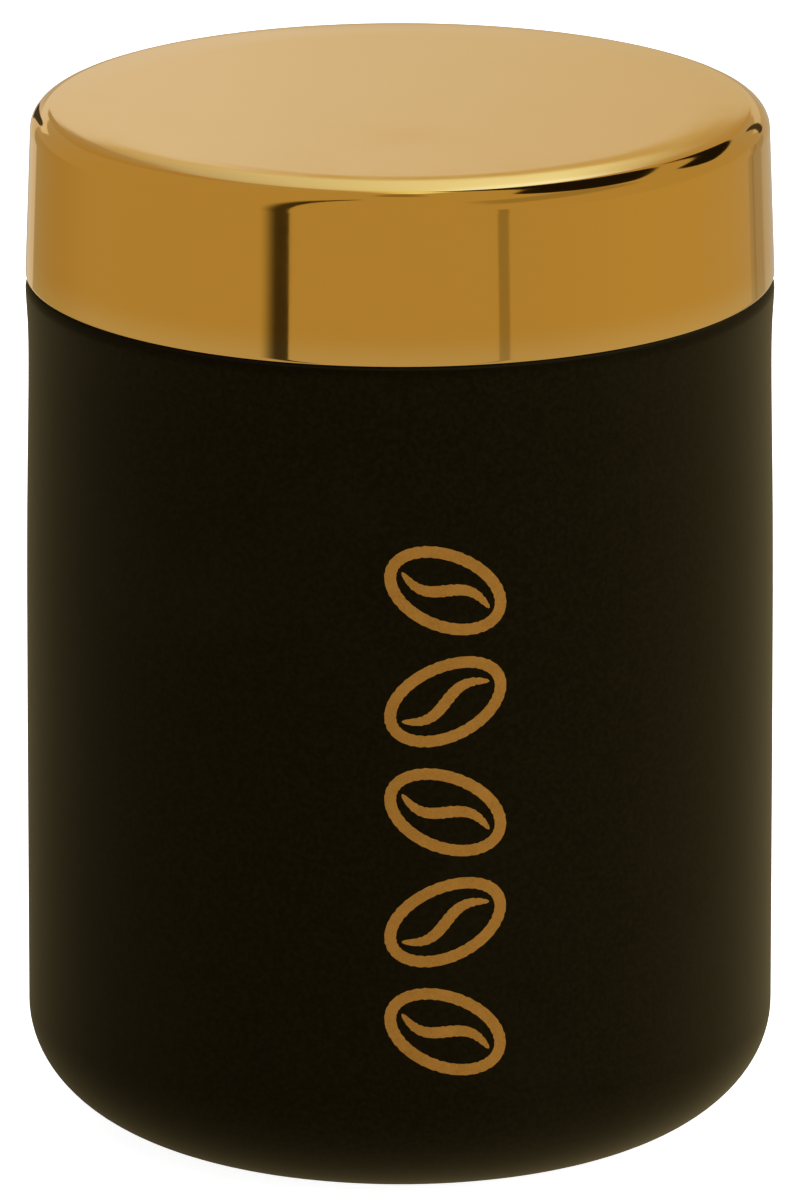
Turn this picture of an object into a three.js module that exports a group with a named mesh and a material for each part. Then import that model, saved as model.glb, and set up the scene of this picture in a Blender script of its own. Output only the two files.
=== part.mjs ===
import * as THREE from "three";

// Coffee tin: a drawn steel canister with a push-on lid that carries a silicone seal.
// Millimetres, +Z up. The origin is the centre of the base, at the height the tin stands on.

// Driving dimensions
const TIN_HEIGHT = 140;
const BODY_RADIUS = 50.1;          // widest, just above the foot
const RIM_HEIGHT = 116.4;          // top of the body's turned-in rim
const SHEET = 0.6;                 // thickness of the sheet steel
const GAP = 0.3;                   // clearance between pieces that touch
const SIDES = 48;                  // facets around the tin

// Body
const STAND_INNER = 25.8;          // the ring that the tin stands on
const STAND_OUTER = 28.6;
const RECESS_HEIGHT = 1.8;         // how far the base panel is set up inside that ring
const RECESS_SLOPE = 1.3;
const FOOT_RISE = 16.3;            // height of the rounded foot
const WAIST_RADIUS = 49.55;        // the wall draws in slightly below the rim
const WAIST_HEIGHT = 106.5;
const RIM_RADIUS = 49.9;
const RIM_CORNER = 1.2;
const RIM_INNER = 47.75;           // inner edge of the turned-in rim

// Neck collar
const COLLAR_FOOT = 106;
const COLLAR_OUTER = 48.4;         // the part inside the body
const COLLAR_JOGGLE = 1.1;         // step inward, so that the neck clears the rim
const COLLAR_SHOULDER = 114.2;
const NECK_OUTER = COLLAR_OUTER - COLLAR_JOGGLE;
const BEAD_RADIUS = 0.6;           // rolled lip at the top of the neck
const BEAD_HEIGHT = 132.2;

// Lid cap
const LID_FOOT = RIM_HEIGHT + 0.4;
const LID_EDGE_RADIUS = 49.9;      // at the hemmed lower edge
const LID_SKIRT_RADIUS = 49.66;    // just above the hem
const LID_TOP_RADIUS = 49.06;      // where the top corner begins
const LID_CORNER = 3;
const HEM_RADIUS = 0.75;
const HEM_HEIGHT = 3.6;
const HEM_INNER = 48.4;

// Lid insert
const PLUG_RADIUS = 43.4;
const PLUG_WALL = 1.6;
const PLUG_FOOT = 118.6;
const RIB_RADIUS = 45.4;           // two ribs hold the seal between them
const RIB_THICKNESS = 1.4;
const LOWER_RIB = 120;
const UPPER_RIB = 129.6;
const FLANGE_RADIUS = 47.6;        // rests over the neck's rolled lip
const FLANGE_THICKNESS = 1.2;

// Seal ring
const SEAL_BAND = 1.1;
const SEAL_RADIUS = NECK_OUTER - SHEET - GAP;
const SEAL_LIPS = 3;
const LIP_THICKNESS = 1.2;
const LIP_RISE = 0.7;              // each lip points outward and up

// Points along a quarter or more of an ellipse, without its first point.
function arc(centreR, centreZ, radiusR, radiusZ, fromDegrees, toDegrees, steps) {
  const points = [];
  for (let step = 1; step <= steps; step += 1) {
    const angle = THREE.MathUtils.degToRad(THREE.MathUtils.lerp(fromDegrees, toDegrees, step / steps));
    points.push(at(centreR + radiusR * Math.cos(angle), centreZ + radiusZ * Math.sin(angle)));
  }
  return points;
}

// A point of an outline: its distance from the tin's axis, and its height.
function at(r, z) {
  return new THREE.Vector2(r, z);
}

// The line moved to its left by a distance, with mitred corners.
function offsetLeft(line, distance) {
  return line.map((point, i) => {
    const before = leftNormal(line[Math.max(i - 1, 0)], line[Math.max(i, 1)]);
    const last = line.length - 1;
    const after = leftNormal(line[Math.min(i, last - 1)], line[Math.min(i + 1, last)]);
    const mitre = before.clone().add(after).multiplyScalar(distance / (1 + before.dot(after)));
    return point.clone().add(mitre);
  });
}

function leftNormal(from, to) {
  const along = to.clone().sub(from).normalize();
  return at(-along.y, along.x);
}

// A named piece turned about the tin's axis from its outline, which runs up on the outside.
function turned(name, outline, finish) {
  const geometry = new THREE.LatheGeometry(outline, SIDES);
  const mesh = new THREE.Mesh(geometry, new THREE.MeshStandardMaterial(finish));
  mesh.name = name;
  mesh.rotation.x = Math.PI / 2;
  return mesh;
}

// The drawn cup: base panel, standing ring, rounded foot, wall with a slight waist, turned-in rim.
function bodyShell() {
  const wall = new THREE.SplineCurve([
    at(BODY_RADIUS, FOOT_RISE),
    at(BODY_RADIUS - 0.1, (FOOT_RISE + WAIST_HEIGHT) / 2),
    at(WAIST_RADIUS, WAIST_HEIGHT),
    at(RIM_RADIUS, RIM_HEIGHT - RIM_CORNER),
  ]);
  const outside = [
    at(0, RECESS_HEIGHT),
    at(STAND_INNER - RECESS_SLOPE, RECESS_HEIGHT),
    at(STAND_INNER, 0),
    at(STAND_OUTER, 0),
    ...arc(STAND_OUTER, FOOT_RISE, BODY_RADIUS - STAND_OUTER, FOOT_RISE, -90, 0, 8),
    ...wall.getPoints(7).slice(1),
    ...arc(RIM_RADIUS - RIM_CORNER, RIM_HEIGHT - RIM_CORNER, RIM_CORNER, RIM_CORNER, 0, 90, 3),
    at(RIM_INNER, RIM_HEIGHT),
  ];
  const inside = offsetLeft(outside, SHEET);
  const finish = { color: 0x14110a, roughness: 0.55, metalness: 0 };
  return turned("body_shell", [...outside, ...inside.reverse()], finish);
}

// The sleeve under the rim: it steps inward past the rim and ends in a rolled lip.
function neckCollar() {
  const outside = [
    at(COLLAR_OUTER, COLLAR_FOOT),
    at(COLLAR_OUTER, COLLAR_SHOULDER),
    at(NECK_OUTER, COLLAR_SHOULDER + COLLAR_JOGGLE),
    at(NECK_OUTER, BEAD_HEIGHT - BEAD_RADIUS),
  ];
  const inside = offsetLeft(outside, SHEET).slice(0, 3).reverse();
  const outline = [
    ...outside,
    ...arc(NECK_OUTER, BEAD_HEIGHT, BEAD_RADIUS, BEAD_RADIUS, -90, 180, 7),
    ...inside,
    outside[0],
  ];
  return turned("neck_collar", outline, { color: 0xb9b8b4, roughness: 0.35, metalness: 1 });
}

// The outer skin of the lid: flat top, rounded corner, skirt with a slight draft, hemmed edge.
function lidCap() {
  const skin = [
    at(LID_EDGE_RADIUS, LID_FOOT + HEM_RADIUS),
    at(LID_SKIRT_RADIUS, LID_FOOT + HEM_HEIGHT),
    at(LID_TOP_RADIUS, TIN_HEIGHT - LID_CORNER),
    ...arc(LID_TOP_RADIUS - LID_CORNER, TIN_HEIGHT - LID_CORNER, LID_CORNER, LID_CORNER, 0, 90, 5),
    at(0, TIN_HEIGHT),
  ];
  const inside = offsetLeft(skin, SHEET).slice(1).reverse();
  const hemBottom = at(LID_EDGE_RADIUS - HEM_RADIUS, LID_FOOT);
  const outline = [
    hemBottom,
    ...arc(hemBottom.x, LID_FOOT + HEM_RADIUS, HEM_RADIUS, HEM_RADIUS, -90, 0, 3),
    ...skin.slice(1),
    ...inside,
    at(HEM_INNER, LID_FOOT + HEM_HEIGHT - HEM_RADIUS),
    at(HEM_INNER, LID_FOOT + HEM_RADIUS),
    hemBottom,
  ];
  return turned("lid_cap", outline, { color: 0xdca548, roughness: 0.08, metalness: 1 });
}

// The moulded plug: a cup whose floor faces the coffee, with two ribs and a flange over the neck.
function lidInsert() {
  const plugTop = TIN_HEIGHT - SHEET - GAP;
  const flangeFoot = BEAD_HEIGHT + BEAD_RADIUS + GAP;
  const outline = [
    at(0, PLUG_FOOT),
    at(PLUG_RADIUS - PLUG_WALL, PLUG_FOOT),
    at(PLUG_RADIUS, PLUG_FOOT + PLUG_WALL / 2),
    ...rib(LOWER_RIB, RIB_THICKNESS, RIB_RADIUS),
    ...rib(UPPER_RIB, RIB_THICKNESS, RIB_RADIUS),
    ...rib(flangeFoot, FLANGE_THICKNESS, FLANGE_RADIUS),
    at(PLUG_RADIUS, plugTop),
    at(PLUG_RADIUS - PLUG_WALL, plugTop),
    at(PLUG_RADIUS - PLUG_WALL, PLUG_FOOT + PLUG_WALL),
    at(0, PLUG_FOOT + PLUG_WALL),
  ];
  return turned("lid_insert", outline, { color: 0x1c1b1a, roughness: 0.5, metalness: 0 });
}

// A square rib that stands out of the plug's wall.
function rib(foot, thickness, radius) {
  return [
    at(PLUG_RADIUS, foot),
    at(radius, foot),
    at(radius, foot + thickness),
    at(PLUG_RADIUS, foot + thickness),
  ];
}

// The silicone ring: a band in the plug's groove with soft lips that wipe the collar.
function sealRing() {
  const foot = LOWER_RIB + RIB_THICKNESS + GAP;
  const top = UPPER_RIB - GAP;
  const inner = PLUG_RADIUS + GAP;
  const pitch = (top - foot) / SEAL_LIPS;
  const lips = [];
  for (let lip = 0; lip < SEAL_LIPS; lip += 1) {
    const root = foot + lip * pitch;
    lips.push(
      at(inner + SEAL_BAND, root),
      at(SEAL_RADIUS, root + LIP_RISE),
      at(SEAL_RADIUS, root + LIP_THICKNESS),
      at(inner + SEAL_BAND, root + LIP_THICKNESS),
    );
  }
  const outline = [
    at(inner, foot),
    ...lips,
    at(inner + SEAL_BAND, top),
    at(inner, top),
    at(inner, foot),
  ];
  return turned("seal_ring", outline, { color: 0xd9d6cf, roughness: 0.45, metalness: 0 });
}

const coffeeTin = new THREE.Group();
coffeeTin.add(bodyShell(), neckCollar(), lidCap(), lidInsert(), sealRing());

export default coffeeTin;
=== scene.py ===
"""Looks of the coffee tin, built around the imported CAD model. Lengths in the outlines are millimetres."""

from math import acos, cos, degrees, pi, radians, sin, tan

import bmesh
import bpy
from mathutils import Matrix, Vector


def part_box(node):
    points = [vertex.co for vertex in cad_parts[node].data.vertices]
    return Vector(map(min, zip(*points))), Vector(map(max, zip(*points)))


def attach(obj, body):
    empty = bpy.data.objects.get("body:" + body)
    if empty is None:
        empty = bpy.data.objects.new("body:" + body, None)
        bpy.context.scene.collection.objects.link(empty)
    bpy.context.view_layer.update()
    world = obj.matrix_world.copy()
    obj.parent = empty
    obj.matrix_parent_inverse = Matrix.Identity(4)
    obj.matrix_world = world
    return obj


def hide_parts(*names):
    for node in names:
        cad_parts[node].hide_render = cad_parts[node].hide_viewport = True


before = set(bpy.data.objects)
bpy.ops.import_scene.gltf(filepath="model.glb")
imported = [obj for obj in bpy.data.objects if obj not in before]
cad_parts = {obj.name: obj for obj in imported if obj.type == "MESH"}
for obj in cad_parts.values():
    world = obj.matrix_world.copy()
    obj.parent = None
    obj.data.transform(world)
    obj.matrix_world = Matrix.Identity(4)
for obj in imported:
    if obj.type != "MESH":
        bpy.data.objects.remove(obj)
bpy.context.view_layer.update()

MM = 0.001
SIDES = 256                        # facets around a turned piece
ON_AXIS = 1e-6                     # a point nearer to the axis than this lies on it


# ---------------------------------------------------------------- sizes, from the CAD model

def top_of(node):
    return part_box(node)[1].z / MM


def foot_of(node):
    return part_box(node)[0].z / MM


def radius_of(node):
    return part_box(node)[1].x / MM


SHEET = 0.6
COAT_INSET = 0.06                  # the wall sits this far inside the CAD's, to leave room for the print
BODY_RADIUS = radius_of("body_shell") - COAT_INSET
RIM_HEIGHT = top_of("body_shell")
FOOT_RISE = 16.3
STAND_INNER, STAND_OUTER = 25.8, 28.6
RECESS_HEIGHT = 1.8
WAIST_RADIUS, WAIST_HEIGHT = 49.56, 106
RIM_RADIUS, RIM_CORNER, RIM_INNER = 49.88, 1.2, 47.75

COLLAR_RADIUS = radius_of("neck_collar")
COLLAR_FOOT, COLLAR_TOP = foot_of("neck_collar"), top_of("neck_collar")
NECK_RADIUS = 47.3
BEAD_RADIUS = 0.6

LID_TOP, LID_FOOT = top_of("lid_cap"), foot_of("lid_cap")
LID_RADIUS = radius_of("lid_cap")

PLUG_FOOT, PLUG_TOP = foot_of("lid_insert"), top_of("lid_insert")
PLUG_RADIUS, PLUG_WALL = 43.4, 1.6
RIB_RADIUS, RIB_THICKNESS = 45.4, 1.4
LOWER_RIB, UPPER_RIB = 120, 129.6
FLANGE_RADIUS = radius_of("lid_insert")
FLANGE_FOOT, FLANGE_THICKNESS = 133.1, 1.2

SEAL_FOOT, SEAL_TOP = foot_of("seal_ring"), top_of("seal_ring")
SEAL_RADIUS = radius_of("seal_ring")


# ---------------------------------------------------------------- outlines

def rounded(corners):
    """Points of a line through corners (r, z) or (r, z, fillet radius), with each fillet as an arc."""
    line = []
    for i, corner in enumerate(corners):
        here = Vector(corner[:2])
        fillet = corner[2] if len(corner) > 2 else 0
        if not fillet or i in (0, len(corners) - 1):
            line.append(here)
            continue
        back = (Vector(corners[i - 1][:2]) - here).normalized()
        ahead = (Vector(corners[i + 1][:2]) - here).normalized()
        opening = acos(max(-1, min(1, back.dot(ahead))))
        centre = here + (back + ahead).normalized() * fillet / sin(opening / 2)
        reach = fillet / tan(opening / 2)
        first, last = here + back * reach - centre, here + ahead * reach - centre
        turn = first.angle_signed(last)
        steps = max(3, round(degrees(abs(turn)) / 7))
        for step in range(steps + 1):
            angle = -turn * step / steps
            turned_arm = Vector((first.x * cos(angle) - first.y * sin(angle),
                                 first.x * sin(angle) + first.y * cos(angle)))
            line.append(centre + turned_arm)
    return line


def smooth_through(points, steps=10):
    """Points of a Catmull-Rom curve through the given ones, ends included."""
    p = [Vector(q) for q in points]
    p = [2 * p[0] - p[1], *p, 2 * p[-1] - p[-2]]
    line = [p[1]]
    for a, b, c, d in zip(p, p[1:], p[2:], p[3:]):
        for step in range(1, steps + 1):
            t = step / steps
            line.append(0.5 * (2 * b + (c - a) * t + (2 * a - 5 * b + 4 * c - d) * t**2
                               + (3 * b - a - 3 * c + d) * t**3))
    return line


def arc(centre_r, centre_z, radius_r, radius_z, start, end, steps):
    """Points along an ellipse from start to end, in degrees, without the first one."""
    angles = [radians(start + (end - start) * step / steps) for step in range(1, steps + 1)]
    return [Vector((centre_r + radius_r * cos(a), centre_z + radius_z * sin(a))) for a in angles]


def normals_of(line, closed=False):
    """The right-hand normal at each point, where the longer neighbouring stretch counts for more."""
    stretches = [b - a for a, b in zip(line, line[1:] + line[:1])]
    sides = [Vector((s.y, -s.x)) for s in stretches]
    if not closed:
        sides[-1] = Vector((0, 0))
    before = sides[-1:] + sides[:-1]
    return [(a + b).normalized() for a, b in zip(before, sides)]


def sheet(outside, thickness=SHEET):
    """Outline of sheet metal with that outer line: a half-round edge at its end, then the inner line."""
    outward = normals_of(outside)
    inside = [p - n * thickness for p, n in zip(outside, outward)]
    edge_out, edge_in = outside[-1], inside[-1]
    middle, arm = (edge_out + edge_in) / 2, (edge_out - edge_in) / 2
    along = Vector((-arm.y, arm.x))
    edge = [middle + arm * cos(a) + along * sin(a) for a in (pi / 4, pi / 2, 3 * pi / 4)]
    return outside, edge + inside[::-1]


# ---------------------------------------------------------------- pieces

def turned(name, line, materials, body, node, inner_from=None):
    """A smooth solid turned about the tin's axis from an outline that runs up on the outside.
    Faces from point inner_from of the outline on take the second material."""
    closed = line[0].x > ON_AXIS
    normals = normals_of(line, closed)
    mesh = bpy.data.meshes.new(name)
    work = bmesh.new()
    rings, vertex_normals = [], []
    for point, normal in zip(line, normals):
        sides = 1 if point.x < ON_AXIS else SIDES
        ring = []
        for side in range(sides):
            angle = 2 * pi * side / SIDES
            place = (point.x * MM * cos(angle), point.x * MM * sin(angle), point.y * MM)
            ring.append(work.verts.new(place))
            across = normal.x if sides > 1 else 0
            vertex_normals.append(Vector((across * cos(angle), across * sin(angle), normal.y)).normalized())
        rings.append(ring)
    pairs = list(zip(rings, rings[1:])) + ([(rings[-1], rings[0])] if closed else [])
    for index, (low, high) in enumerate(pairs):
        for side in range(SIDES):
            after = (side + 1) % SIDES
            if len(low) == 1:
                corners = [low[0], high[after], high[side]]
            elif len(high) == 1:
                corners = [low[side], low[after], high[0]]
            else:
                corners = [low[side], low[after], high[after], high[side]]
            face = work.faces.new(corners)
            face.smooth = True
            face.material_index = int(inner_from is not None and index >= inner_from)
    work.to_mesh(mesh)
    work.free()
    mesh.normals_split_custom_set_from_vertices([n[:] for n in vertex_normals])
    for material in materials:
        mesh.materials.append(material)
    piece = bpy.data.objects.new(name, mesh)
    bpy.context.scene.collection.objects.link(piece)
    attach(piece, body)
    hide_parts(node)
    return piece


# ---------------------------------------------------------------- material nodes

class Nodes:
    """Short calls for building a node tree. A value is a number, a colour or another node's output."""

    def __init__(self, tree):
        self.tree = tree
        tree.nodes.clear()

    def add(self, kind, values=(), **settings):
        node = self.tree.nodes.new(kind)
        for key, value in settings.items():
            setattr(node, key, value)
        for key, value in dict(values).items():
            self.put(node.inputs[key], value)
        return node

    def put(self, socket, value):
        if isinstance(value, bpy.types.NodeSocket):
            self.tree.links.new(value, socket)
        else:
            socket.default_value = value

    def math(self, operation, *values):
        return self.add("ShaderNodeMath", enumerate(values), operation=operation).outputs[0]

    def step(self, value, low, high, to_low=0.0, to_high=1.0):
        """Rises smoothly from to_low to to_high as value goes from low to high."""
        values = {0: value, 1: low, 2: high, 3: to_low, 4: to_high}
        return self.add("ShaderNodeMapRange", values, interpolation_type="SMOOTHSTEP").outputs[0]

    def mix(self, share, a, b):
        node = self.add("ShaderNodeMix", {0: share, 6: a, 7: b}, data_type="RGBA")
        return node.outputs[2]

    def blend(self, share, a, b):
        return self.add("ShaderNodeMix", {0: share, 2: a, 3: b}, data_type="FLOAT").outputs[0]

    def noise(self, vector, scale, detail=2.0, roughness=0.5):
        values = {"Vector": vector, "Scale": scale, "Detail": detail, "Roughness": roughness}
        return self.add("ShaderNodeTexNoise", values).outputs[0]

    def bump(self, height, strength, distance, below=None):
        values = {"Strength": strength, "Distance": distance, "Height": height}
        if below is not None:
            values["Normal"] = below
        return self.add("ShaderNodeBump", values).outputs[0]

    def place(self):
        return self.add("ShaderNodeTexCoord").outputs["Object"]

    def stretched(self, vector, scale):
        return self.add("ShaderNodeMapping", {"Vector": vector, "Scale": scale}).outputs[0]

    def around(self, vector):
        """The vector in turned coordinates: angle about the axis, distance from it, and height."""
        x, y, z = self.add("ShaderNodeSeparateXYZ", {0: vector}).outputs
        angle = self.math("ARCTAN2", y, x)
        squares = self.math("ADD", self.math("MULTIPLY", x, x), self.math("MULTIPLY", y, y))
        distance = self.math("SQRT", squares)
        return self.add("ShaderNodeCombineXYZ", {0: angle, 1: distance, 2: z}).outputs[0]

    def surface(self, **values):
        shader = self.add("ShaderNodeBsdfPrincipled", {k.replace("_", " "): v for k, v in values.items()})
        output = self.add("ShaderNodeOutputMaterial")
        self.tree.links.new(shader.outputs[0], output.inputs[0])


def material(name):
    made = bpy.data.materials.new(name)
    made.use_nodes = True
    return made, Nodes(made.node_tree)


def matt_coat():
    """Black powder coat: a fine pebbled skin, slightly brown, with faint rubbed patches."""
    made, n = material("matt_black_coat")
    place = n.place()
    pebbles = n.noise(place, 1500, 3, 0.55)
    swells = n.noise(place, 140, 2)
    rubs = n.step(n.noise(place, 22, 5, 0.62), 0.5, 0.72)
    colour = n.mix(n.step(pebbles, 0.3, 0.75), (0.0042, 0.0028, 0.0006, 1), (0.0068, 0.0048, 0.0012, 1))
    colour = n.mix(n.math("MULTIPLY", rubs, 0.25), colour, (0.0095, 0.0072, 0.003, 1))
    roughness = n.blend(rubs, n.step(pebbles, 0.2, 0.8, 0.64, 0.74), 0.58)
    fine = n.bump(pebbles, 0.25, 0.00004)
    n.surface(Base_Color=colour, Roughness=roughness, Specular_IOR_Level=0.004, Sheen_Weight=0.15,
              Sheen_Roughness=0.40, Sheen_Tint=(1, 0.78, 0.34, 1), Normal=n.bump(swells, 0.12, 0.0001, fine))
    return made


def mirror_gold():
    """Gold-tone plating polished to a mirror, with a painted highlight along the hem (lighter, yellower
    colour), hairlines and a faint waviness.
    """
    made, n = material("mirror_gold")
    place = n.place()
    cloud = n.noise(place, 18, 3)
    hairs = n.noise(n.stretched(n.around(place), (9, 900, 900)), 1, 2)
    smudge = n.step(n.noise(place, 45, 5, 0.6), 0.48, 0.75)
    colour = n.mix(cloud, (0.86, 0.475, 0.076, 1), (0.83, 0.455, 0.068, 1))
    height = n.add("ShaderNodeSeparateXYZ", {0: place}).outputs["Z"]
    # Painted highlight: over the lowest 5 mm of the lid the colour turns lighter and yellower, standing in
    # for light caught at the hem.
    hem_highlight_mask = n.step(height, (LID_FOOT + 5) * MM, LID_FOOT * MM)
    colour = n.mix(hem_highlight_mask, colour, (0.89, 0.56, 0.15, 1))
    roughness = n.math("ADD", n.blend(smudge, 0.035, 0.075), n.math("MULTIPLY", hairs, 0.03))
    waves = n.bump(n.noise(place, 26, 1), 0.12, 0.0008)
    n.surface(Base_Color=colour, Metallic=1.0, Roughness=roughness, Specular_Tint=(0.91, 0.94, 0.87, 1),
              Normal=n.bump(hairs, 0.03, 0.00003, waves))
    return made


def satin_steel():
    """Stainless sheet with turning marks that run around it."""
    made, n = material("satin_steel")
    place = n.place()
    marks = n.noise(n.stretched(n.around(place), (3, 2600, 2600)), 1, 3)
    cloud = n.noise(place, 60, 4)
    colour = n.mix(n.blend(0.5, marks, cloud), (0.62, 0.61, 0.59, 1), (0.74, 0.73, 0.71, 1))
    n.surface(Base_Color=colour, Metallic=0.75, Roughness=n.step(marks, 0.2, 0.8, 0.24, 0.38),
              Normal=n.bump(marks, 0.2, 0.00003))
    return made


def moulded_plastic():
    """Black polypropylene with a spark-eroded texture and faint flow clouds."""
    made, n = material("plug_plastic")
    place = n.place()
    grain = n.noise(place, 2600, 3, 0.6)
    cloud = n.noise(place, 40, 4)
    colour = n.mix(cloud, (0.014, 0.0135, 0.013, 1), (0.026, 0.025, 0.024, 1))
    n.surface(Base_Color=colour, Roughness=n.step(grain, 0.2, 0.8, 0.42, 0.6),
              Normal=n.bump(grain, 0.25, 0.00004))
    return made


def silicone():
    """Milky silicone with a soft surface and a little light through it."""
    made, n = material("silicone")
    place = n.place()
    dust = n.noise(place, 900, 4, 0.6)
    colour = n.mix(n.noise(place, 70, 3), (0.62, 0.60, 0.56, 1), (0.72, 0.70, 0.66, 1))
    n.surface(Base_Color=colour, Roughness=n.step(dust, 0.2, 0.8, 0.38, 0.52), Subsurface_Weight=0.35,
              Subsurface_Radius=(0.004, 0.0036, 0.003), Subsurface_Scale=1.0,
              Normal=n.bump(dust, 0.15, 0.00003))
    return made


def gold_ink():
    """Screen-printed metallic ink: flakes that vary in tone, slightly thin in places."""
    made, n = material("gold_ink")
    place = n.place()
    flakes = n.noise(place, 5200, 2, 0.6)
    thin = n.noise(place, 320, 4, 0.6)
    tone = n.mix(n.step(thin, 0.35, 0.7), (0.262, 0.110, 0.010, 1), (0.314, 0.137, 0.016, 1))
    colour = n.mix(n.step(flakes, 0.3, 0.8), tone, (0.36, 0.17, 0.028, 1))
    n.surface(Base_Color=colour, Metallic=0.35, Roughness=n.step(flakes, 0.2, 0.8, 0.42, 0.6),
              Specular_IOR_Level=0.15, Normal=n.bump(flakes, 0.2, 0.00002))
    return made


COAT, GOLD, STEEL = matt_coat(), mirror_gold(), satin_steel()
PLASTIC, SILICONE, INK = moulded_plastic(), silicone(), gold_ink()


# ---------------------------------------------------------------- the tin

def wall_line():
    """The body's wall from the foot to the rim: nearly straight, with a slight waist below the rim."""
    return smooth_through([
        (BODY_RADIUS, FOOT_RISE),
        (BODY_RADIUS - 0.04, 58),
        (BODY_RADIUS - 0.14, 82),
        (WAIST_RADIUS, WAIST_HEIGHT),
        (RIM_RADIUS, RIM_HEIGHT - RIM_CORNER),
    ])


def body_shell():
    """The drawn cup: recessed base, standing ring, rounded foot, wall and turned-in rim."""
    recess_slope, recess_fillet, ring_fillet = 1.4, 1.2, 0.9
    base = rounded([
        (0, RECESS_HEIGHT),
        (STAND_INNER - recess_slope, RECESS_HEIGHT, recess_fillet),
        (STAND_INNER, 0, ring_fillet),
        (STAND_OUTER, 0),
    ])
    foot = arc(STAND_OUTER, FOOT_RISE, BODY_RADIUS - STAND_OUTER, FOOT_RISE, -90, 0, 28)
    corner = arc(RIM_RADIUS - RIM_CORNER, RIM_HEIGHT - RIM_CORNER, RIM_CORNER, RIM_CORNER, 0, 90, 8)
    outside = [*base, *foot, *wall_line()[1:], *corner, Vector((RIM_INNER, RIM_HEIGHT))]
    outer, inner = sheet(outside)
    turned("body_shell_skin", outer + inner, [COAT, STEEL], "body", "body_shell",
           inner_from=len(outer) + 1)


def neck_collar():
    """The sleeve under the rim: it steps inward past the rim and ends in a rolled lip."""
    bead_z = COLLAR_TOP - BEAD_RADIUS
    shoulder = 114.2
    step = COLLAR_RADIUS - NECK_RADIUS
    outer_fillet, inner_fillet = 0.9, 0.5
    inner_drop = 0.3                   # the inner line bends this much lower than the outer one
    outside = rounded([
        (COLLAR_RADIUS, COLLAR_FOOT),
        (COLLAR_RADIUS, shoulder, outer_fillet),
        (NECK_RADIUS, shoulder + step, outer_fillet),
        (NECK_RADIUS, bead_z - BEAD_RADIUS),
    ])
    bead = arc(NECK_RADIUS, bead_z, BEAD_RADIUS, BEAD_RADIUS, -90, 180, 20)
    inside = rounded([
        (NECK_RADIUS - SHEET, shoulder + step * 2, inner_fillet),
        (NECK_RADIUS - SHEET, shoulder + step - inner_drop, inner_fillet),
        (COLLAR_RADIUS - SHEET, shoulder - inner_drop, inner_fillet),
        (COLLAR_RADIUS - SHEET, COLLAR_FOOT),
    ])
    turned("neck_collar_skin", [*outside, *bead, *inside], [STEEL], "body", "neck_collar")


def lid_cap():
    """The lid's skin: slightly crowned top, rounded corner, side that leans in, and a hem folded inward."""
    draft, corner_drop, corner_fillet = 0.84, 0.30, 3
    crown_radius, crown_fillet = 42, 150
    hem_width, hem_height, hem_fillet = 1.5, 3.1, 0.7
    inset_above, inset_at_hem = 1.42, 0.92   # how far the inner side lies within the lid's radius
    inner_drop, inner_corner_fillet = 0.28, 2.4
    outside = rounded([
        (LID_RADIUS - hem_width, LID_FOOT),
        (LID_RADIUS, LID_FOOT, hem_fillet),
        (LID_RADIUS - draft, LID_TOP - corner_drop, corner_fillet),
        (crown_radius, LID_TOP, crown_fillet),
        (0, LID_TOP),
    ])[1:]
    inside = rounded([
        (0, LID_TOP - SHEET),
        (crown_radius, LID_TOP - SHEET, crown_fillet),
        (LID_RADIUS - inset_above, LID_TOP - SHEET - inner_drop, inner_corner_fillet),
        (LID_RADIUS - inset_at_hem, LID_FOOT + hem_height + 0.5, 0.6),
        (LID_RADIUS - hem_width, LID_FOOT + hem_height, 0.4),
        (LID_RADIUS - hem_width, LID_FOOT, 0.6),
        (LID_RADIUS - 0.8, LID_FOOT),
    ])
    turned("lid_cap_skin", inside[:-1] + outside, [GOLD], "lid", "lid_cap")


def lid_insert():
    """The moulded plug: a cup with a raised panel in its floor, two ribs and a flange over the neck."""
    panel_radius, panel_rise, panel_slope = 32, 0.5, 1
    panel_fillet, foot_fillet, rim_fillet = 0.6, 0.9, 0.3
    line = rounded([
        (0, PLUG_FOOT + panel_rise),
        (panel_radius, PLUG_FOOT + panel_rise, panel_fillet),
        (panel_radius + panel_slope, PLUG_FOOT, panel_fillet),
        (PLUG_RADIUS - 0.4, PLUG_FOOT, foot_fillet),
        *rib_corners(LOWER_RIB, RIB_THICKNESS, RIB_RADIUS),
        *rib_corners(UPPER_RIB, RIB_THICKNESS, RIB_RADIUS),
        *rib_corners(FLANGE_FOOT, FLANGE_THICKNESS, FLANGE_RADIUS),
        (PLUG_RADIUS, PLUG_TOP, rim_fillet),
        (PLUG_RADIUS - PLUG_WALL, PLUG_TOP, rim_fillet),
        (PLUG_RADIUS - PLUG_WALL, PLUG_FOOT + PLUG_WALL + panel_rise, 0.8),
        (0, PLUG_FOOT + PLUG_WALL + panel_rise),
    ])
    turned("lid_insert_moulding", line, [PLASTIC], "lid", "lid_insert")


def rib_corners(foot, thickness, radius):
    """A rib that stands out of the plug's wall, with soft edges."""
    root_fillet, edge_fillet = 0.2, 0.35
    return [
        (PLUG_RADIUS, foot, root_fillet),
        (radius, foot, edge_fillet),
        (radius, foot + thickness, edge_fillet),
        (PLUG_RADIUS, foot + thickness, root_fillet),
    ]


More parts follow.
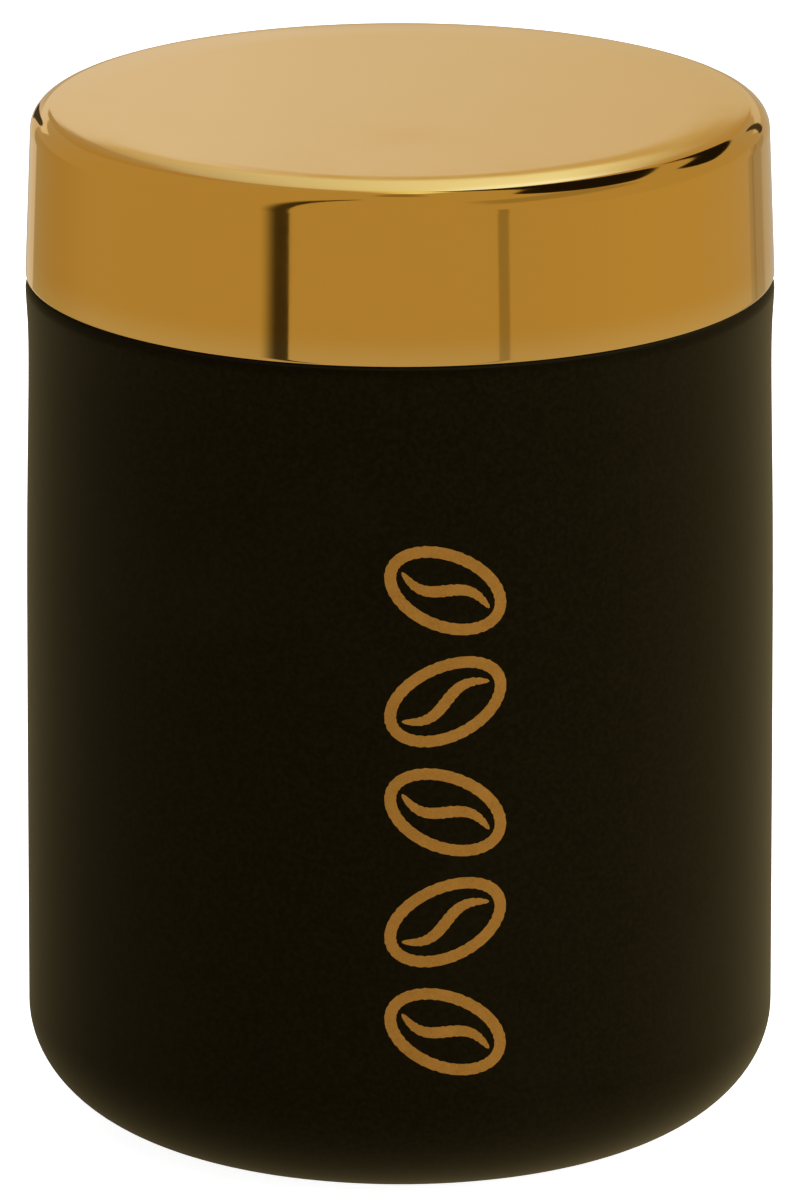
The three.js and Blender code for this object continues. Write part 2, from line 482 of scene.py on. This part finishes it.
def seal_ring():
    """The silicone ring: a band in the plug's groove with soft lips that point outward and up."""
    gap, band_thickness = 0.3, 1.1
    lip_count, lip_low, lip_high = 3, 0.7, 1.2
    root_fillet, tip_fillet, end_fillet = 0.25, 0.2, 0.3
    tuck = 0.02                        # the outer corner of the ring's foot is set in by this much
    inner = PLUG_RADIUS + gap
    band = inner + band_thickness
    pitch = (SEAL_TOP - SEAL_FOOT) / lip_count
    lips = []
    for lip in range(lip_count):
        root = SEAL_FOOT + lip * pitch
        lips += [
            (band, root + 0.05, root_fillet),
            (SEAL_RADIUS, root + lip_low, tip_fillet),
            (SEAL_RADIUS, root + lip_high, tip_fillet),
            (band, root + lip_high + 0.05, root_fillet),
        ]
    line = rounded([
        (inner + 0.6, SEAL_FOOT),
        (band - tuck, SEAL_FOOT, tuck),
        *lips,
        (band, SEAL_TOP, end_fillet),
        (inner, SEAL_TOP, end_fillet),
        (inner, SEAL_FOOT, end_fillet),
    ])
    turned("seal_ring_moulding", line, [SILICONE], "seal", "seal_ring")


# ---------------------------------------------------------------- the print

PRINT_TURN = radians(6.9)          # the band's middle, turned from the front towards +X
PRINT_LOW, PRINT_HIGH = 19, 94.3
PRINT_WIDTH = 17
STROKE = 1.55
INK_ABOVE, INK_BELOW = 0.03, 0.08  # the ink stands this far above the wall, and is let into it
BEANS = 5


def wall_radius(height):
    """The body's outer radius at a height."""
    line = wall_line()
    for low, high in zip(line, line[1:]):
        if low.y <= height <= high.y:
            return low.x + (high.x - low.x) * (height - low.y) / (high.y - low.y)
    return BODY_RADIUS


def on_wall(across, height, lift):
    """The point on the body's wall that lies that far across the print band, lifted off the wall."""
    radius = wall_radius(height) + lift
    angle = PRINT_TURN + across / BODY_RADIUS
    return Vector((radius * sin(angle), -radius * cos(angle), height)) * MM


def ink_stroke(work, centre_line, half_width, closed):
    """A thin closed ribbon of ink along a line of (across, height) points."""
    count = len(centre_line)
    sections = []
    for i, point in enumerate(centre_line):
        if closed:
            along = centre_line[(i + 1) % count] - centre_line[i - 1]
        else:
            along = centre_line[min(i + 1, count - 1)] - centre_line[max(i - 1, 0)]
        side = Vector((-along.y, along.x)).normalized()
        smooth = half_width(i / (count - 1))
        ragged = 0.035 * sin(i * 2.1) + 0.03 * sin(i * 3.7 + 1)
        half = smooth + ragged * min(1, smooth / STROKE * 4)
        left, right = point + side * half, point - side * half
        sections.append([work.verts.new(on_wall(p.x, p.y, lift))
                         for p, lift in ((left, INK_ABOVE), (right, INK_ABOVE),
                                         (right, -INK_BELOW), (left, -INK_BELOW))])
    joins = list(zip(sections, sections[1:])) + ([(sections[-1], sections[0])] if closed else [])
    for a, b in joins:
        for k in range(4):
            work.faces.new((a[k], a[(k + 1) % 4], b[(k + 1) % 4], b[k]))
    if not closed:
        work.faces.new(sections[0][::-1])
        work.faces.new(sections[-1])


def bean(work, height, tilt):
    """One coffee bean in outline, with the crease along its middle."""
    half_long, half_short = PRINT_WIDTH / 2 - STROKE / 2, 4.7
    ca, sa = cos(tilt), sin(tilt)

    def place(x, y):
        return Vector((x * ca - y * sa, height + x * sa + y * ca))

    steps = 96
    angles = [2 * pi * k / steps for k in range(steps)]
    rim = [place(half_long * cos(a), half_short * sin(a)) for a in angles]
    ink_stroke(work, rim, lambda t: STROKE / 2, True)
    crease_steps, bend, tip = 40, 1.1, 0.08
    reach = half_long - STROKE * 0.9
    crease = []
    for k in range(crease_steps + 1):
        x = -reach + 2 * reach * k / crease_steps
        crease.append(place(x, bend * sin(pi * x / reach)))
    ink_stroke(work, crease, lambda t: tip + (STROKE / 2 - tip) * sin(pi * t) ** 0.5, False)


def print_beans():
    """The printed band on the front: a column of beans that lean left and right in turn."""
    lean = radians(24)
    mesh = bpy.data.meshes.new("print_beans")
    work = bmesh.new()
    pitch = (PRINT_HIGH - PRINT_LOW) / BEANS
    for k in range(BEANS):
        bean(work, PRINT_LOW + pitch * (k + 0.5), lean if k % 2 else -lean)
    bmesh.ops.recalc_face_normals(work, faces=work.faces)
    work.to_mesh(mesh)
    work.free()
    mesh.materials.append(INK)
    piece = bpy.data.objects.new("print_beans", mesh)
    bpy.context.scene.collection.objects.link(piece)
    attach(piece, "body")


body_shell()
neck_collar()
lid_cap()
lid_insert()
seal_ring()
print_beans()


# ---------------------------------------------------------------- studio

def warm(brightness):
    """The tent's slightly warm cloth at that brightness."""
    return (brightness, brightness * 0.87, brightness * 0.70, 1)


def plain(brightness):
    return (brightness, brightness, brightness, 1)


GOLDEN_CLOTH = (0.46, 0.37, 0.21, 1)
GOLDEN_EDGE = (0.64, 0.52, 0.26, 1)
BACKDROP = (0.74, 0.69, 0.61, 1)
BRIGHT_BACKDROP = (0.84, 0.83, 0.90, 1)

# Panels of the light tent, as seen from the tin: a bearing range from the front or the back in
# degrees, positive to the right, an elevation range, the softness of the left, right, low and high
# edges, and how bright the panel is. Later panels hang in front of earlier ones.
PANELS = [
    ("front", (35, 178), (-60, 6), (50, 1, 4, 6), warm(0.535)),             # brighter cloth on the right
    ("front", (25, 105), (36, 64), (15, 15, 8, 8), warm(0.36)),             # upper right of the tent
    ("back", (-75, -25), (-60, 4), (30, 0.5, 4, 6), GOLDEN_CLOTH),          # golden cloth on the left
    ("back", (28, 43), (-60, 4), (0.6, 2, 4, 6), warm(0.43)),               # fold of the cloth on the right
    ("back", (36.5, 39.5), (-60, 4), (1, 1, 4, 6), warm(0.36)),             # its crease
    ("back", (-24.6, 27), (-90, 12), (0.6, 1.5, 1, 3), warm(0.57)),         # lower back wall
    ("back", (-24.6, -8), (-90, 12), (0.6, 6, 1, 3), warm(0.74)),           # its brighter left end
    ("back", (-7, 9), (12, 17.2), (3, 3, 1, 1), GOLDEN_EDGE),               # golden edge of the backdrop
    ("back", (-30, 30), (6, 15), (3, 3, 3, 0.6), BACKDROP),                 # backdrop, in the lid's top
    ("back", (-30, 2.2), (8, 15), (3, 4, 3, 0.6), BRIGHT_BACKDROP),         # its brighter left half
    ("back", (-30, -0.3), (8, 16.1), (3, 0.8, 3, 0.5), BRIGHT_BACKDROP),    # its taller left end
    ("back", (-3.2, 4.4), (15.7, 57), (5, 2.2, 0.9, 3), (1.08, 1.24, 1.12, 1)),   # daylight strip
    ("back", (0.2, 4.4), (17.5, 50), (1.2, 2.2, 2, 6), (1.16, 1.5, 2.1, 1)),      # its bright middle
    ("front", (-44, -34.1), (-60, 80), (6, 0.3, 4, 4), warm(0.05)),         # gap at the left stand
    ("front", (30, 33.8), (-60, 14), (0.3, 0.5, 4, 2), warm(0.32)),         # gap beside the camera
]
# Drapes, dark gaps and seams between panels, each a tapered streak from one direction to another:
# bearing from the back, elevation and half width at either end, softness and brightness.
STREAKS = [
    ((0, 60, 2), (0, 76, 4), 2, warm(0.28)),                            # above the daylight strip
    ((-6, 17.5, 4.2), (-16, 34, 9), 0.8, (0.48, 0.38, 0.22, 1)),        # drape left of the strip
    ((4.8, 17, 3.8), (13, 34, 7.5), 1.6, (0.53, 0.40, 0.19, 1)),        # drape right of the strip
    ((7.5, 38.5, 6), (66, 60, 12.5), 1, warm(0.012)),                   # dark gap at the upper right
    ((13, 28, 4.2), (50, 34, 7.2), 1, warm(0.012)),                     # dark gap below that one
    ((-12.5, -4, 3), (-20, 9, 3.6), 0.8, warm(0.06)),                   # small gap, low on the left
    ((19, 18, 2.6), (26.5, 6, 3.2), 0.8, warm(0.06)),                   # small gap, low on the right
]
FILL_LEFT, FILL_RIGHT = 0.03, 1.75  # brightness of the soft light on matt surfaces, from either side
FLOOR_LIGHT, FLOOR_SEEN = 0.46, 0.93  # the floor's glow on the tin, and as the camera sees it


def toward(bearing, elevation):
    """The direction at that bearing from the back and that elevation."""
    turn, rise = radians(bearing), radians(elevation)
    return Vector((sin(turn) * cos(rise), cos(turn) * cos(rise), sin(rise)))


def streak_mask(n, direction, start, end, soft):
    """1 inside a tapered streak on the sky, and 0 beyond its soft edge."""
    first, last = toward(*start[:2]), toward(*end[:2])
    span = last - first
    from_first = n.add("ShaderNodeVectorMath", {0: direction, 1: first}, operation="SUBTRACT").outputs[0]
    along = n.add("ShaderNodeVectorMath", {0: from_first, 1: span}, operation="DOT_PRODUCT").outputs["Value"]
    share = n.math("DIVIDE", along, span.length_squared)
    share = n.math("MINIMUM", n.math("MAXIMUM", share, 0.0), 1.0)
    nearest = n.add("ShaderNodeVectorMath", {0: span, "Scale": share}, operation="SCALE").outputs[0]
    away = n.add("ShaderNodeVectorMath", {0: from_first, 1: nearest}, operation="DISTANCE").outputs["Value"]
    half_width = n.blend(share, radians(start[2]), radians(end[2]))
    return n.step(n.math("SUBTRACT", away, half_width), 0, -radians(soft))


def studio_light():
    """Matt surfaces get a soft light, brighter from the right, and shiny ones mirror the tent's panels."""
    world = bpy.data.worlds.new("studio")
    world.use_nodes = True
    bpy.context.scene.world = world
    n = Nodes(world.node_tree)
    direction = n.add("ShaderNodeTexCoord").outputs["Generated"]
    x, y, z = n.add("ShaderNodeSeparateXYZ", {0: direction}).outputs
    elevation = n.math("DEGREES", n.math("ARCSINE", z))
    bearing = {
        "back": n.math("DEGREES", n.math("ARCTAN2", x, y)),
        "front": n.math("DEGREES", n.math("ARCTAN2", x, n.math("MULTIPLY", y, -1.0))),
    }
    tent = warm(0.5)
    for facing, (left, right), (low, high), softness, brightness in PANELS:
        soft_left, soft_right, soft_low, soft_high = softness
        turn = bearing[facing]
        mask = n.math("MULTIPLY", n.step(turn, left, left + soft_left),
                      n.step(turn, right, right - soft_right))
        rise = n.math("MULTIPLY", n.step(elevation, low, low + soft_low),
                      n.step(elevation, high, high - soft_high))
        tent = n.mix(n.math("MULTIPLY", mask, rise), tent, brightness)
    for start, end, soft, brightness in STREAKS:
        tent = n.mix(streak_mask(n, direction, start, end, soft), tent, brightness)
    ray = n.add("ShaderNodeLightPath").outputs
    soft = n.mix(n.step(x, -1, 1), plain(FILL_LEFT), plain(FILL_RIGHT))
    even = n.mix(ray["Is Camera Ray"], soft, plain(1.0))
    seen = n.mix(ray["Is Glossy Ray"], even, tent)
    light = n.add("ShaderNodeBackground", {"Color": seen, "Strength": 1.0})
    output = n.add("ShaderNodeOutputWorld")
    world.node_tree.links.new(light.outputs[0], output.inputs[0])
    world.cycles.sampling_method = "NONE"


def floor():
    """A wide pale floor that curves nowhere: the camera never sees its edge from above."""
    half, height = 20, -0.0001         # metres; just below the tin, so that the two share no plane
    corners = [(-half, -half), (half, -half), (half, half), (-half, half)]
    work = bmesh.new()
    work.faces.new([work.verts.new((x, y, height)) for x, y in corners])
    mesh = bpy.data.meshes.new("floor")
    work.to_mesh(mesh)
    work.free()
    made, n = material("pale_floor")
    place = n.place()
    colour = n.mix(n.noise(place, 3, 3), (0.955, 0.955, 0.95, 1), (0.965, 0.965, 0.96, 1))
    seen_directly = n.add("ShaderNodeLightPath").outputs["Is Camera Ray"]
    glow = n.blend(seen_directly, FLOOR_LIGHT, FLOOR_SEEN)
    n.surface(Base_Color=colour, Roughness=0.9, Specular_IOR_Level=0.0, Emission_Color=(1, 1, 1, 1),
              Emission_Strength=glow)
    mesh.materials.append(made)
    ground = bpy.data.objects.new("floor", mesh)
    bpy.context.scene.collection.objects.link(ground)
    ground.visible_glossy = False


# The camera looks down slightly at the middle of the tin from some way off.
CAMERA_DISTANCE = 2.0
CAMERA_PITCH = radians(15.78)
CAMERA_AIM = Vector((0, 0, 0.07155))
CAMERA_LENS = 447.8


def camera():
    data = bpy.data.cameras.new("camera")
    data.lens = CAMERA_LENS
    data.sensor_width = 36
    data.clip_end = 60
    made = bpy.data.objects.new("camera", data)
    back = Vector((0, -cos(CAMERA_PITCH), sin(CAMERA_PITCH)))
    made.location = CAMERA_AIM + back * CAMERA_DISTANCE
    made.rotation_euler = (-back).to_track_quat("-Z", "Y").to_euler()
    bpy.context.scene.collection.objects.link(made)
    bpy.context.scene.camera = made


studio_light()
floor()
camera()
bpy.context.scene.view_settings.view_transform = "Standard"

bpy.context.view_layer.update()
